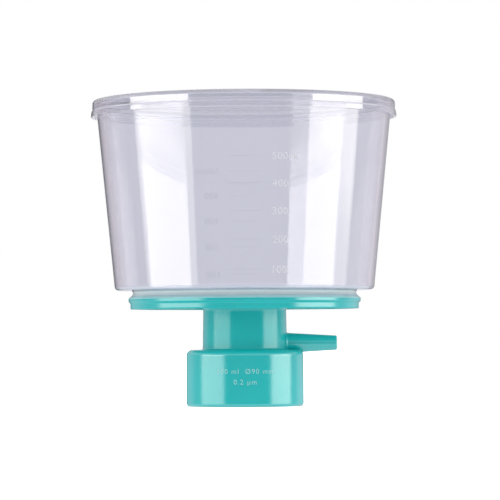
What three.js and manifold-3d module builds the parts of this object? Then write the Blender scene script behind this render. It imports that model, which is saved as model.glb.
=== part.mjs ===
// A bottle-top vacuum filtration unit. A clear tapered cup with a push-on lid stands on a moulded base, and
// a filter membrane is clamped between the two. The base screws onto a bottle's neck, and a hose on its side
// arm draws the liquid down through the membrane.
// Millimetres, +Z up. The origin is the centre of the collar's mouth, and the side arm points along +X.
import * as THREE from "three";
import { mergeVertices } from "three/addons/utils/BufferGeometryUtils.js";
import Module from "manifold-3d";

// ------------------------------------------------------------------ driving dimensions

// Facets round a turned piece, round the side arm, along each turn of the thread, and along a rounded edge.
const FACETS_ROUND = 64;
const FACETS_ARM = 24;
const FACETS_THREAD = 32;
const FACETS_EDGE = 2;

// Collar and the thread in its bore.
const collarHeight = 23;
const collarWall = 1.7;
const collarTopRadius = 2.2;
const collarMouthRadius = 1.3;
const shoulderThickness = 2.4;
const threadRootDiameter = 44.6;
const threadDepth = 1.2;
const threadPitch = 4;
const threadRootWidth = 2.4;
const threadCrestWidth = 0.9;
const threadLeadIn = 3;
const threadClearHeight = 4.5;
const threadFadeTurns = 0.12;

// Spigot that stands in the bottle's mouth, and the gasket round it.
const gasketSeatWidth = 6.5;
const spigotWall = 1.8;
const spigotDrop = 5.6;
const gasketThickness = 2.2;
const gasketClearance = 0.3;

// Neck between the collar and the flange.
const neckHeight = 17.9;
const neckSetBack = 6.75;
const neckTaper = 0.3;
const neckWall = 2.2;
const neckFillet = 0.8;
const neckTopFillet = 2.2;

// Spout that carries the filtrate down the middle of the neck.
const outletDiameter = 5;
const spoutRootWall = 2;
const spoutTipWall = 1.2;
const spoutLength = 21.5;

// Side arm for the vacuum hose.
const armRise = 2.7;
const armReach = 20.45;
const armRootDiameter = 8.3;
const armTipDiameter = 5.9;
const armBoreDiameter = 3.4;
const armTipRadius = 0.5;
const armFillet = 0.9;

// Flange, and the seat on it that carries the membrane.
const plateThickness = 3;
const rimEdgeHeight = 1.1;
const rimUndercut = 0.8;
const skirtDrop = 1.2;
const skirtWall = 1.6;
const skirtEdgeRadius = 0.4;
const seatHeight = 1.1;
const seatMargin = 0.7;
const dishDepthAtRim = 1.8;
const dishDepthAtOutlet = 2.8;
const ribCount = 24;
const ribWidth = 1;
const ribClearOfOutlet = 5;

// Membrane.
const membraneDiameter = 90;
const membraneThickness = 0.3;
const clampWidth = 2.5;

// Cup.
const cupHeight = 76.5;
const cupOverhang = 6.9;
const cupSpread = 7.5;
const cupWall = 1.8;
const floorThickness = 0.8;
const cupCornerRadius = 1.8;
const cupInnerCornerRadius = 0.9;
const neckRingHeight = 2.1;
const neckRingMargin = 1.2;
const lipClearance = 0.3;
const lipWall = 1.6;
const lipTipHeight = 0.2;
const flangeSetBack = 0.8;
const rimBead = 0.4;
const rimBeadHeight = 1.7;

// Lid.
const lidClearance = 0.2;
const lidPlate = 1.4;
const lidWall = 0.9;
const lidTopRadius = 1.6;
const lidSkirtDepth = 5.5;
const lidStepDepth = 3.3;
const lidStepHeight = 0.4;
const lidStep = 0.4;
const lidFlare = 0.2;
const lidRimHeight = 0.5;

// ------------------------------------------------------------------ levels and radii that follow from them

const collarRadius = threadRootDiameter / 2 + collarWall;
const threadRootRadius = threadRootDiameter / 2;
const threadCrestRadius = threadRootRadius - threadDepth;
const shoulderLevel = collarHeight - shoulderThickness;
const gasketLevel = shoulderLevel - gasketThickness;

const spigotRadius = threadCrestRadius - gasketSeatWidth;
const spigotBoreRadius = spigotRadius - spigotWall;
const neckRadius = collarRadius - neckSetBack;
const neckTopRadius = neckRadius - neckTaper;
const neckBoreRadius = neckTopRadius - neckWall;
const plateUnderside = collarHeight + neckHeight;
const plateLevel = plateUnderside + plateThickness;
const rimUnderside = plateLevel - rimEdgeHeight;

const outletRadius = outletDiameter / 2;
const spoutTipLevel = plateUnderside - spoutLength;

const armLevel = collarHeight + armRise;
const armTipX = neckRadius + armReach;

const membraneRadius = membraneDiameter / 2;
const seatRadius = membraneRadius + seatMargin;
const seatLevel = plateLevel + seatHeight;
const clampLevel = seatLevel + membraneThickness;
const clampRadius = membraneRadius - clampWidth;

const lipInnerRadius = seatRadius + lipClearance;
const lipRadius = lipInnerRadius + lipWall;
const flangeRadius = lipRadius - flangeSetBack;
const neckRingRadius = membraneRadius + neckRingMargin;

const floorUnderside = clampLevel + neckRingHeight;
const floorLevel = floorUnderside + floorThickness;
const cupBottomRadius = neckRingRadius + cupOverhang;
const cupTopRadius = cupBottomRadius + cupSpread;
const rimLevel = floorUnderside + cupHeight;
const rimBeadRadius = cupTopRadius + rimBead;
const wallSlope = cupSpread / cupHeight;

const lidInnerRadius = rimBeadRadius + lidClearance;
const lidRadius = lidInnerRadius + lidWall;

// ------------------------------------------------------------------ drawing and solid helpers

const wasm = await Module();
wasm.setup();

// Points [r, z] along a circular arc in a turned profile, angles in degrees from the +r direction.
function arc(centreR, centreZ, radius, fromDegrees, toDegrees) {
  return Array.from({ length: FACETS_EDGE + 1 }, (_, step) => {
    const angle = THREE.MathUtils.degToRad(
      THREE.MathUtils.lerp(fromDegrees, toDegrees, step / FACETS_EDGE),
    );
    return [centreR + radius * Math.cos(angle), centreZ + radius * Math.sin(angle)];
  });
}

// A profile of [r, z] points turned about Z. It runs anticlockwise: outwards below, up outside, inwards
// above.
function turned(profile, facets = FACETS_ROUND) {
  const points = profile.map(([r, z]) => new THREE.Vector2(r, z));
  return new THREE.LatheGeometry(points, facets).rotateX(Math.PI / 2);
}

// The same for a profile that stays clear of the axis and so closes on its own first point.
function turnedRing(profile) {
  return turned([...profile, profile[0]]);
}

function solidOf(geometry) {
  const bare = geometry.clone();
  bare.deleteAttribute("normal");
  bare.deleteAttribute("uv");
  const merged = mergeVertices(bare);
  return new wasm.Manifold(
    new wasm.Mesh({
      numProp: 3,
      vertProperties: merged.attributes.position.array,
      triVerts: merged.index.array,
    }),
  );
}

function geometryOf(solid) {
  const mesh = solid.getMesh();
  const geometry = new THREE.BufferGeometry();
  geometry.setAttribute("position", new THREE.BufferAttribute(mesh.vertProperties, 3));
  geometry.setIndex(new THREE.BufferAttribute(mesh.triVerts, 1));
  geometry.computeVertexNormals();
  return geometry;
}

// ------------------------------------------------------------------ base: one moulding

// Collar, neck, spout and flange, as one turned body.
function turnedBody() {
  const collarTopCentre = collarRadius - collarTopRadius;
  const collarMouthCentre = collarRadius - collarMouthRadius;
  const skirtInnerRadius = flangeRadius - skirtWall;
  const skirtBottom = plateUnderside - skirtDrop;
  const skirtCentre = flangeRadius - skirtEdgeRadius;
  return turnedRing([
    // Collar, from the thread's root out and up to the neck.
    [threadRootRadius, 0],
    ...arc(collarMouthCentre, collarMouthRadius, collarMouthRadius, -90, 0),
    ...arc(collarTopCentre, collarHeight - collarTopRadius, collarTopRadius, 0, 90),
    ...arc(neckRadius + neckFillet, collarHeight + neckFillet, neckFillet, -90, -180),
    // Neck, up to the underside of the plate.
    ...arc(neckTopRadius + neckTopFillet, plateUnderside - neckTopFillet, neckTopFillet, 180, 90),
    // Flange: its hanging skirt, its rim under the cup's lip, and the seat.
    [skirtInnerRadius, plateUnderside],
    [skirtInnerRadius, skirtBottom],
    ...arc(skirtCentre, skirtBottom + skirtEdgeRadius, skirtEdgeRadius, -90, 0),
    [flangeRadius, rimUnderside - rimUndercut],
    [lipRadius, rimUnderside],
    [lipRadius, plateLevel],
    [seatRadius, plateLevel],
    [seatRadius, seatLevel],
    [clampRadius, seatLevel],
    // Dish that falls to the outlet.
    [clampRadius, seatLevel - dishDepthAtRim],
    [outletRadius, seatLevel - dishDepthAtOutlet],
    // Spout, down its bore and up its outside.
    [outletRadius, spoutTipLevel],
    [outletRadius + spoutTipWall, spoutTipLevel],
    [outletRadius + spoutRootWall, plateUnderside],
    // Chamber round the spout, the spigot, and the shoulder that backs the gasket.
    [neckBoreRadius, plateUnderside],
    [neckBoreRadius, collarHeight],
    [spigotBoreRadius, collarHeight],
    [spigotBoreRadius, shoulderLevel - spigotDrop],
    [spigotRadius, shoulderLevel - spigotDrop],
    [spigotRadius, shoulderLevel],
    [threadRootRadius, shoulderLevel],
  ]);
}

// Radial ribs that hold the membrane up off the dish, so that liquid can run to the outlet.
function drainageRibs() {
  const innerR = outletRadius + ribClearOfOutlet;
  const rootDepth = dishDepthAtOutlet + plateThickness / 4;
  const length = clampRadius + seatMargin - innerR;
  return Array.from({ length: ribCount }, (_, rib) =>
    new THREE.BoxGeometry(length, ribWidth, rootDepth)
      .translate(innerR + length / 2, 0, seatLevel - rootDepth / 2)
      .rotateZ(((rib + 0.5) / ribCount) * 2 * Math.PI),
  );
}

// Side arm: a taper with a fillet at its root, turned about its own axis and laid along +X.
function armBody() {
  const rootX = neckRadius - neckWall / 2;
  const filletX = neckRadius + armFillet;
  const rootR = armRootDiameter / 2;
  const tipR = armTipDiameter / 2;
  return turned(
    [
      [0, rootX],
      [rootR + armFillet, rootX],
      ...arc(rootR + armFillet, filletX, armFillet, -90, -180),
      ...arc(tipR - armTipRadius, armTipX - armTipRadius, armTipRadius, 0, 90),
      [0, armTipX],
    ],
    FACETS_ARM,
  )
    .rotateY(Math.PI / 2)
    .translate(0, 0, armLevel);
}

// The arm's bore, from inside the neck's chamber to past the tip.
function armBore() {
  const insideX = neckBoreRadius - neckWall;
  const length = armTipX + neckWall - insideX;
  return new THREE.CylinderGeometry(armBoreDiameter / 2, armBoreDiameter / 2, length, FACETS_ARM)
    .rotateZ(Math.PI / 2)
    .translate(insideX + length / 2, 0, armLevel);
}

// Right-hand thread in the collar: its section is extruded straight, then wound up the bore as a helix. At
// both ends the crest sinks into the wall.
function threadRidge() {
  const embed = collarWall / 3;
  const turns = (gasketLevel - threadClearHeight - threadLeadIn) / threadPitch;
  const section = new THREE.Shape([
    new THREE.Vector2(-embed, -threadRootWidth / 2),
    new THREE.Vector2(threadDepth, -threadCrestWidth / 2),
    new THREE.Vector2(threadDepth, threadCrestWidth / 2),
    new THREE.Vector2(-embed, threadRootWidth / 2),
  ]);
  const steps = Math.round(turns * FACETS_THREAD);
  const ridge = new THREE.ExtrudeGeometry(section, { depth: turns, steps, bevelEnabled: false });
  const place = ridge.attributes.position;
  for (let i = 0; i < place.count; i++) {
    const turn = place.getZ(i);
    const fade = THREE.MathUtils.smoothstep(Math.min(turn, turns - turn), 0, threadFadeTurns);
    const inwards = place.getX(i) > 0 ? THREE.MathUtils.lerp(-embed / 2, threadDepth, fade) : -embed;
    const radius = threadRootRadius - inwards;
    const angle = turn * 2 * Math.PI;
    const height = threadLeadIn + turn * threadPitch + place.getY(i);
    place.setXYZ(i, radius * Math.cos(angle), radius * Math.sin(angle), height);
  }
  return ridge;
}

function baseShape() {
  let body = solidOf(turnedBody());
  for (const piece of [...drainageRibs(), armBody(), threadRidge()]) {
    body = body.add(solidOf(piece));
  }
  return geometryOf(body.subtract(solidOf(armBore())));
}

// ------------------------------------------------------------------ the other pieces

// Cup: lip and neck ring below, then the floor with its round opening, the tapered wall and the rim's bead.
function cupShape() {
  const cornerCentre = cupBottomRadius - cupCornerRadius;
  const innerCornerCentre = cupBottomRadius + wallSlope * floorThickness - cupWall - cupInnerCornerRadius;
  const beadBottom = rimLevel - rimBeadHeight;
  return turnedRing([
    [clampRadius, clampLevel],
    [lipInnerRadius, clampLevel],
    [lipInnerRadius, plateLevel],
    [lipRadius, plateLevel],
    [lipRadius, plateLevel + lipTipHeight],
    [neckRingRadius, clampLevel],
    [neckRingRadius, floorUnderside],
    ...arc(cornerCentre, floorUnderside + cupCornerRadius, cupCornerRadius, -90, 0),
    [cupTopRadius - wallSlope * rimBeadHeight, beadBottom],
    [rimBeadRadius, beadBottom],
    [rimBeadRadius, rimLevel],
    [cupTopRadius - cupWall, rimLevel],
    ...arc(innerCornerCentre, floorLevel + cupInnerCornerRadius, cupInnerCornerRadius, 0, -90),
    [clampRadius, floorLevel],
  ]);
}

// Lid: a flat plate with a rounded edge, and a skirt that steps and flares towards its rim.
function lidShape() {
  const plateBottom = rimLevel;
  const lidTop = rimLevel + lidPlate;
  const stepLevel = plateBottom - lidStepDepth;
  const rimBottom = plateBottom - lidSkirtDepth;
  const stepRadius = lidRadius + lidStep;
  return turned([
    [0, plateBottom],
    [lidInnerRadius, plateBottom],
    [lidInnerRadius, stepLevel],
    [lidInnerRadius + lidFlare, rimBottom],
    [stepRadius + lidFlare, rimBottom],
    [stepRadius + lidFlare, rimBottom + lidRimHeight],
    [stepRadius, stepLevel],
    [lidRadius, stepLevel + lidStepHeight],
    ...arc(lidRadius - lidTopRadius, lidTop - lidTopRadius, lidTopRadius, 0, 90),
    [0, lidTop],
  ]);
}

// Membrane, with the fleece that backs it: one thin disc.
function membraneShape() {
  return turned([
    [0, seatLevel],
    [membraneRadius, seatLevel],
    [membraneRadius, clampLevel],
    [0, clampLevel],
  ]);
}

// Gasket that seals on the bottle's lip.
function gasketShape() {
  const innerR = spigotRadius + gasketClearance;
  const outerR = threadCrestRadius - gasketClearance;
  return turnedRing([
    [innerR, gasketLevel],
    [outerR, gasketLevel],
    [outerR, shoulderLevel],
    [innerR, shoulderLevel],
  ]);
}

// ------------------------------------------------------------------ assembly

const clearPlastic = { color: 0xd6d8e6, roughness: 0.08, metalness: 0, transparent: true, opacity: 0.4 };

function mesh(name, geometry, finish) {
  const piece = new THREE.Mesh(geometry, new THREE.MeshStandardMaterial(finish));
  piece.name = name;
  return piece;
}

const unit = new THREE.Group();
unit.name = "vacuum_filtration_unit";
unit.add(
  mesh("lid", lidShape(), clearPlastic),
  mesh("cup", cupShape(), clearPlastic),
  mesh("membrane", membraneShape(), { color: 0xf6f7f5, roughness: 0.75, metalness: 0 }),
  mesh("base", baseShape(), { color: 0x2eb3b5, roughness: 0.28, metalness: 0 }),
  mesh("bottle_gasket", gasketShape(), { color: 0xe6e4de, roughness: 0.6, metalness: 0 }),
);

export default unit;
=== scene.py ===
"""A bottle-top vacuum filtration unit in clear and teal moulded plastic, dressed round its CAD frame.

A clear tapered cup with a push-on lid stands on a teal base. The base's flange carries the filter membrane
under the cup's clamp ring, its neck holds the spout and the side arm, and its collar screws onto a bottle.
Lengths in this script are millimetres until they reach Blender.
"""
from __future__ import annotations

import logging
import math
from dataclasses import dataclass, field
from enum import Enum
from typing import NamedTuple, Sequence, Union

import bpy
import numpy as np
from mathutils import Matrix, Vector


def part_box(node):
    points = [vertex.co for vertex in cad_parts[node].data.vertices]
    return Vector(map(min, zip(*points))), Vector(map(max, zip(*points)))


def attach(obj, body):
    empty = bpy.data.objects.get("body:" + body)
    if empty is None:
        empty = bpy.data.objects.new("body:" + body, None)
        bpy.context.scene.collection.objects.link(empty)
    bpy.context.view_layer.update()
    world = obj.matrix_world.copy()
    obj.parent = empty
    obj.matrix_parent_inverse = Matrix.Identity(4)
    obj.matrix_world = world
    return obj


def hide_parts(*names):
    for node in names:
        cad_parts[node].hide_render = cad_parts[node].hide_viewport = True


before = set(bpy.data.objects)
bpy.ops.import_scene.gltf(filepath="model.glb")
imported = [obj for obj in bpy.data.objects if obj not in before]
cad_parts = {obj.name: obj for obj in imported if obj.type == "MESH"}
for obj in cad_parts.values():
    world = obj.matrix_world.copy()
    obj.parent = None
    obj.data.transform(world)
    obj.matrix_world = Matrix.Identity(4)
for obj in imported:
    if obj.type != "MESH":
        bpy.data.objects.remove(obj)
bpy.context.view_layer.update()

MM = 0.001
FULL_TURN = 2 * math.pi
SEAM_GAP = 0.04  # air left between pieces that touch, so that clear plastic never shares a surface
SEAT_MARGIN = 0.7  # how far the membrane's seat reaches past its edge
CLAMP_WIDTH = 2.5  # how much of the membrane's edge the cup clamps down
RIB_COUNT = 24  # drainage ribs in the base's dish, which show faintly through the membrane
SHARPEST_SMOOTH = math.radians(32)  # edges that turn by more than this stay sharp
RUN_SHARES = (0.012, 0.3, 0.7, 0.988)  # where extra points stand along an outline's straight runs
NOISE_MIDDLE = (0.3, 0.7)  # nearly all of a noise's values lie between these

Colour = tuple[float, float, float]
Socket = bpy.types.NodeSocket
Source = Union[Socket, float, Sequence[float]]

log = logging.getLogger("filtration_unit")


class Body(Enum):
    """The rigid bodies that pieces ride on."""

    UNIT = "unit"
    LID = "lid"


# ---------------------------------------------------------------------------------------------- surfaces


class Corner(NamedTuple):
    """A corner of an outline: its radius from the axis, its height, and the radius it is rounded to."""

    r: float
    z: float
    rounding: float = 0.0


class NodeBox(NamedTuple):
    """The outer radius and the levels of a turned CAD node at rest."""

    radius: float
    bottom: float
    top: float

    @classmethod
    def of(cls, node: str) -> "NodeBox":
        """Measures a node of the frame.

        Args:
            node: The CAD node's name.

        Returns:
            Its radius and levels in millimetres.
        """
        low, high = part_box(node)
        return cls(high[1] / MM, low[2] / MM, high[2] / MM)


def boxed(node: str) -> NodeBox:
    """Returns a field that holds the box of a CAD node."""
    return field(default_factory=lambda: NodeBox.of(node))


def placed(name: str, data: bpy.types.ID) -> bpy.types.Object:
    """Puts data into the scene as a new object at the origin."""
    thing = bpy.data.objects.new(name, data)
    bpy.context.scene.collection.objects.link(thing)
    return thing


@dataclass
class Surface:
    """Vertices in millimetres and the faces between them."""

    points: np.ndarray
    faces: list[list[int]]

    def moved(self, matrix: Matrix) -> "Surface":
        """Returns the surface carried by a rigid motion whose shift is in millimetres."""
        turn = np.array(matrix.to_3x3())
        return Surface(self.points @ turn.T + np.array(matrix.translation), self.faces)

    def joined(self, others: Sequence["Surface"]) -> "Surface":
        """Returns one surface that holds this one and the others, each still its own shell."""
        points, faces = [self.points], list(self.faces)
        offset = len(self.points)
        for other in others:
            points.append(other.points)
            faces += [[index + offset for index in face] for face in other.faces]
            offset += len(other.points)
        return Surface(np.concatenate(points), faces)

    def to_object(self, name: str) -> bpy.types.Object:
        """Puts the surface into a smooth-shaded mesh object at the origin.

        Args:
            name: The object's name.

        Returns:
            The linked object, in metres.
        """
        mesh = bpy.data.meshes.new(name)
        mesh.from_pydata((self.points * MM).tolist(), [], self.faces)
        mesh.validate()
        smooth_by_angle(mesh)
        return placed(name, mesh)


def smooth_by_angle(mesh: bpy.types.Mesh) -> None:
    """Shades a mesh smooth, apart from its sharp edges."""
    mesh.polygons.foreach_set("use_smooth", np.ones(len(mesh.polygons), dtype=bool))
    mesh.set_sharp_from_angle(angle=SHARPEST_SMOOTH)
    mesh.update()


def rounded_outline(corners: Sequence[Corner], closed: bool, steps: int = 6) -> np.ndarray:
    """Rounds an outline's corners and spaces points along its straight runs.

    Each corner becomes the arc that touches both its edges: its centre lies on the bisector at
    rounding / sin(half the corner's angle), and the arc is swung evenly from one touching point to the other.
    Extra points on each straight run, two of them close to its ends, keep smooth shading flat between them.

    Args:
        corners: The corners in order, anticlockwise in the (r, z) plane.
        closed: Whether the last corner joins the first. If not, both are kept as they are.
        steps: Points on each arc.

    Returns:
        An array of (r, z) points.
    """
    place = np.array([(corner.r, corner.z) for corner in corners])
    rounding = np.array([corner.rounding for corner in corners])[:, None]
    to_last = np.roll(place, 1, axis=0) - place
    to_next = np.roll(place, -1, axis=0) - place
    to_last /= np.linalg.norm(to_last, axis=1, keepdims=True)
    to_next /= np.linalg.norm(to_next, axis=1, keepdims=True)
    straightest = 0.999999
    cosine = np.sum(to_last * to_next, axis=1, keepdims=True)
    half = 0.5 * np.arccos(np.clip(cosine, -straightest, straightest))
    bisector = to_last + to_next
    bisector /= np.linalg.norm(bisector, axis=1, keepdims=True)
    centre = place + bisector * rounding / np.sin(half)
    reach = rounding / np.tan(half)
    spoke_in = place + to_last * reach - centre
    spoke_out = place + to_next * reach - centre
    swing = (math.pi - 2 * half)[:, None]
    share = np.linspace(0, 1, steps)[None, :, None]
    arcs = centre[:, None] + (
        np.sin((1 - share) * swing) * spoke_in[:, None] + np.sin(share * swing) * spoke_out[:, None]
    ) / np.sin(swing)
    fractions = np.array(RUN_SHARES)[None, :, None]
    run_start = arcs[:, -1:]
    run_end = np.roll(arcs, -1, axis=0)[:, :1]
    if closed:
        runs = run_start + (run_end - run_start) * fractions
        return np.concatenate([arcs, runs], axis=1).reshape(-1, 2)
    arcs, first, last = arcs[1:-1], place[:1], place[-1:]
    starts = np.concatenate([first, arcs[:, -1]])[:, None]
    ends = np.concatenate([arcs[:, 0], last])[:, None]
    runs = starts + (ends - starts) * fractions
    middle = np.concatenate([runs[:-1], arcs], axis=1).reshape(-1, 2)
    return np.concatenate([first, middle, runs[-1], last])


def grid_faces(rows: int, columns: int, wrap_rows: bool) -> np.ndarray:
    """Lists the faces of a grid that closes round its columns, and round its rows too if wrap_rows is set.

    Returns:
        An array of quads of indices, where the point in row j and column i is j * columns + i.
    """
    row = np.arange(rows if wrap_rows else rows - 1)[:, None]
    column = np.arange(columns)[None, :]
    after = (column + 1) % columns
    above = (row + 1) % rows
    quads = np.stack(
        [
            row * columns + column,
            row * columns + after,
            above * columns + after,
            above * columns + column,
        ],
        axis=-1,
    )
    return quads.reshape(-1, 4)


def round_axis(radius: np.ndarray, angle: np.ndarray, height: np.ndarray) -> np.ndarray:
    """Returns the points (radius cos angle, radius sin angle, height) for arrays that fit each other."""
    return np.stack(np.broadcast_arrays(radius * np.cos(angle), radius * np.sin(angle), height), axis=-1)


def turned(outline: np.ndarray, closed: bool, segments: int = 240) -> Surface:
    """Turns an outline about the Z axis: the point (r, z) goes to (r cos a, r sin a, z) for each angle a.

    Args:
        outline: Points (r, z), anticlockwise. An open outline starts and ends on the axis, at the poles.
        closed: Whether the outline joins its own start.
        segments: Columns round the axis.

    Returns:
        A closed surface that faces outwards.
    """
    angle = np.arange(segments) * FULL_TURN / segments
    ring = outline if closed else outline[1:-1]
    points = round_axis(ring[:, :1], angle, ring[:, 1:]).reshape(-1, 3)
    faces = grid_faces(len(ring), segments, closed).tolist()
    if closed:
        return Surface(points, faces)
    low_pole, high_pole = len(points), len(points) + 1
    poles = np.array([[0, 0, outline[0, 1]], [0, 0, outline[-1, 1]]])
    column = np.arange(segments)
    after = (column + 1) % segments
    last_row = (len(ring) - 1) * segments
    low_fan = np.stack([np.full(segments, low_pole), after, column], axis=-1)
    high_fan = np.stack([last_row + column, last_row + after, np.full(segments, high_pole)], axis=-1)
    return Surface(np.concatenate([points, poles]), faces + low_fan.tolist() + high_fan.tolist())


def swept(sections: np.ndarray) -> Surface:
    """Skins a row of sections, each a ring of the same number of points, and closes both ends.

    Args:
        sections: Points of shape (sections, points in a section, 3), each ring anticlockwise as the sweep's
            end sees it.

    Returns:
        A closed surface that faces outwards.
    """
    rows, columns = sections.shape[:2]
    faces = grid_faces(rows, columns, wrap_rows=False).tolist()
    first = list(range(columns))[::-1]
    last = [(rows - 1) * columns + index for index in range(columns)]
    return Surface(sections.reshape(-1, 3), faces + [first, last])


def bar(length: float, width: float, height: float) -> Surface:
    """Returns a straight bar along +X from the origin, centred on Y, its top at z = 0."""
    across, down = width / 2, -height
    ring = np.array([[0, -across, down], [0, across, down], [0, across, 0], [0, -across, 0]])
    return swept(np.stack([ring, ring + np.array([length, 0, 0])]))


def merged_solid(
    body: Surface, added: Sequence[Surface], cut: Sequence[Surface], name: str
) -> bpy.types.Object:
    """Makes one closed mesh from a body, the solids added to it and the solids cut out of it.

    Args:
        body: The main solid.
        added: Solids that become one with it.
        cut: Solids taken out last.
        name: The object's name.

    Returns:
        The finished object, at the origin.
    """
    solid = body.to_object(name)
    tools = []
    for number, (tool, operation) in enumerate(
        [(tool, "UNION") for tool in added] + [(tool, "DIFFERENCE") for tool in cut]
    ):
        helper = tool.to_object(f"{name}_tool_{number}")
        tools.append(helper)
        modifier = solid.modifiers.new(helper.name, "BOOLEAN")
        modifier.object = helper
        modifier.operation = operation
        modifier.solver = "MANIFOLD"
    evaluated = solid.evaluated_get(bpy.context.evaluated_depsgraph_get())
    finished = bpy.data.meshes.new_from_object(evaluated)
    solid.modifiers.clear()
    solid.data = finished
    for helper in tools:
        bpy.data.objects.remove(helper)
    smooth_by_angle(finished)
    return solid


# ---------------------------------------------------------------------------------------------- finishes


class Pattern(NamedTuple):
    """A fractal noise that a finish is made of.

    Its sizes are the blotches along a metre, the octaves of finer noise, the millimetres that it stands for as
    a bump, and factors on the three axes, less than 1 for blotches drawn out along that axis.
    """

    per_metre: float
    detail: float = 3
    depth: float = 0.0
    stretch: tuple[float, float, float] = (1, 1, 1)


class NodeBench:
    """Lays out the shader nodes of a material, or of the world."""

    def __init__(
        self,
        owner: bpy.types.Material | bpy.types.World,
        shader: str = "Principled BSDF",
        place: str = "Object",
    ) -> None:
        """Turns on the owner's nodes.

        Args:
            owner: The new material or world.
            shader: The shader that it starts with.
            place: The texture coordinate that its patterns follow.
        """
        owner.use_nodes = True
        self.owner = owner
        self.tree = owner.node_tree
        self.shader = self.tree.nodes[shader]
        self.place = self.add("TexCoord", place)

    def plug(self, socket: Socket, value: Source) -> None:
        """Links a source to a socket, or sets the socket's own constant, with an alpha on a colour."""
        if isinstance(value, Socket):
            self.tree.links.new(value, socket)
        else:
            socket.default_value = (*value, 1) if socket.type == "RGBA" else value

    def set(self, **sockets: Source) -> None:
        """Fills the shader's own sockets, named with underscores for spaces."""
        for name, value in sockets.items():
            self.plug(self.shader.inputs[name.replace("_", " ")], value)

    def add(self, kind: str, output: str, option: tuple[str, str] | None = None, **sockets: Source) -> Socket:
        """Adds a node.

        Args:
            kind: The node's type, without the ShaderNode that its name starts with.
            output: The output that is wanted.
            option: One of the node's own menus and the choice in it.
            **sockets: What goes into its inputs, named with underscores for spaces.

        Returns:
            The output.
        """
        node = self.tree.nodes.new(f"ShaderNode{kind}")
        if option:
            setattr(node, *option)
        for name, value in sockets.items():
            self.plug(node.inputs[name.replace("_", " ")], value)
        return node.outputs[output]

    def worked(self, operation: str, *inputs: Socket | float) -> Socket:
        """Adds one step of arithmetic."""
        node = self.tree.nodes.new("ShaderNodeMath")
        node.operation = operation
        for socket, value in zip(node.inputs, inputs):
            self.plug(socket, value)
        return node.outputs[0]

    def parts(self) -> list[Socket]:
        """Splits the place that patterns follow into X, Y and Z."""
        node = self.tree.nodes.new("ShaderNodeSeparateXYZ")
        self.plug(node.inputs["Vector"], self.place)
        return list(node.outputs)

    def spread(self, value: Socket, start: float, end: float, low: float = 0.0, high: float = 1.0) -> Socket:
        """Goes from low to high while a value goes from start to end, and no further."""
        ends = {"From_Min": start, "From_Max": end, "To_Min": low, "To_Max": high}
        return self.add("MapRange", "Result", Value=value, **ends)

    def ramp(self, share: Socket, stops: Sequence[tuple[float, Colour]]) -> Socket:
        """Lets a colour follow a share between 0 and 1, straight from stop to stop."""
        node = self.tree.nodes.new("ShaderNodeValToRGB")
        marks = node.color_ramp.elements
        marks.remove(marks[1])
        marks[0].position = stops[0][0]
        for number, (position, colour) in enumerate(stops):
            mark = marks.new(position) if number else marks[0]
            mark.color = (*colour, 1)
        self.plug(node.inputs["Fac"], share)
        return node.outputs["Color"]

    def mixed(self, share: Socket, first: Source, second: Source) -> Socket:
        """Mixes two colours, the share being that of the second."""
        return self.add("Mix", "Result", ("data_type", "RGBA"), Factor=share, A=first, B=second)

    def noise(self, pattern: Pattern) -> Socket:
        """Adds a pattern and returns its factor, about 0.5 on average."""
        place = self.add("Mapping", "Vector", Vector=self.place, Scale=pattern.stretch)
        return self.add("TexNoise", "Fac", Vector=place, Scale=pattern.per_metre, Detail=pattern.detail)

    def ranged(self, noise: Socket, low: float, high: float) -> Socket:
        """Spreads the middle of a noise over the range from low to high."""
        return self.spread(noise, *NOISE_MIDDLE, low, high)

    def tinted(self, noise: Socket, dark: Colour, pale: Colour) -> Socket:
        """Turns a noise into a colour between two near shades."""
        return self.ramp(noise, list(zip(NOISE_MIDDLE, (dark, pale))))

    def spokes(self, count: int, near: float, far: float) -> Socket:
        """Tells spokes that run out from the Z axis, the first of them half a step from +X.

        The distance to the nearest spoke's middle line is radius * (turn between spokes) * |share - 1/2|,
        where the share is how far round the point stands between two gaps.

        Args:
            count: How many spokes there are.
            near: Distance from a middle line, in millimetres, within which the result is lowest.
            far: Distance from which it is highest.

        Returns:
            A factor from the low to the high end of a noise's middle, low on a spoke.
        """
        across, ahead, _ = self.parts()
        steps = self.worked("MULTIPLY", self.worked("ARCTAN2", ahead, across), count / FULL_TURN)
        off = self.worked("ABSOLUTE", self.worked("SUBTRACT", self.worked("FRACT", steps), 0.5))
        squares = [self.worked("MULTIPLY", part, part) for part in (across, ahead)]
        radius = self.worked("SQRT", self.worked("ADD", *squares))
        distance = self.worked("MULTIPLY", radius, self.worked("MULTIPLY", off, FULL_TURN / count))
        return self.spread(distance, near * MM, far * MM, *NOISE_MIDDLE)

    def by_level(self, stops: Sequence[tuple[float, Colour]]) -> Socket:
        """Lets a colour follow the level, by stops at rising levels in millimetres."""
        bottom, top = stops[0][0], stops[-1][0]
        share = self.spread(self.parts()[2], bottom * MM, top * MM)
        return self.ramp(share, [((level - bottom) / (top - bottom), colour) for level, colour in stops])

    def bump(self, *layers: tuple[Socket, float]) -> Socket:
        """Stacks bumps, each a height factor and how many millimetres it stands for, into a normal."""
        below = {}
        for height, depth in layers:
            normal = self.add("Bump", "Normal", Strength=1.0, Distance=depth * MM, Height=height, **below)
            below = {"Normal": normal}
        return normal


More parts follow.
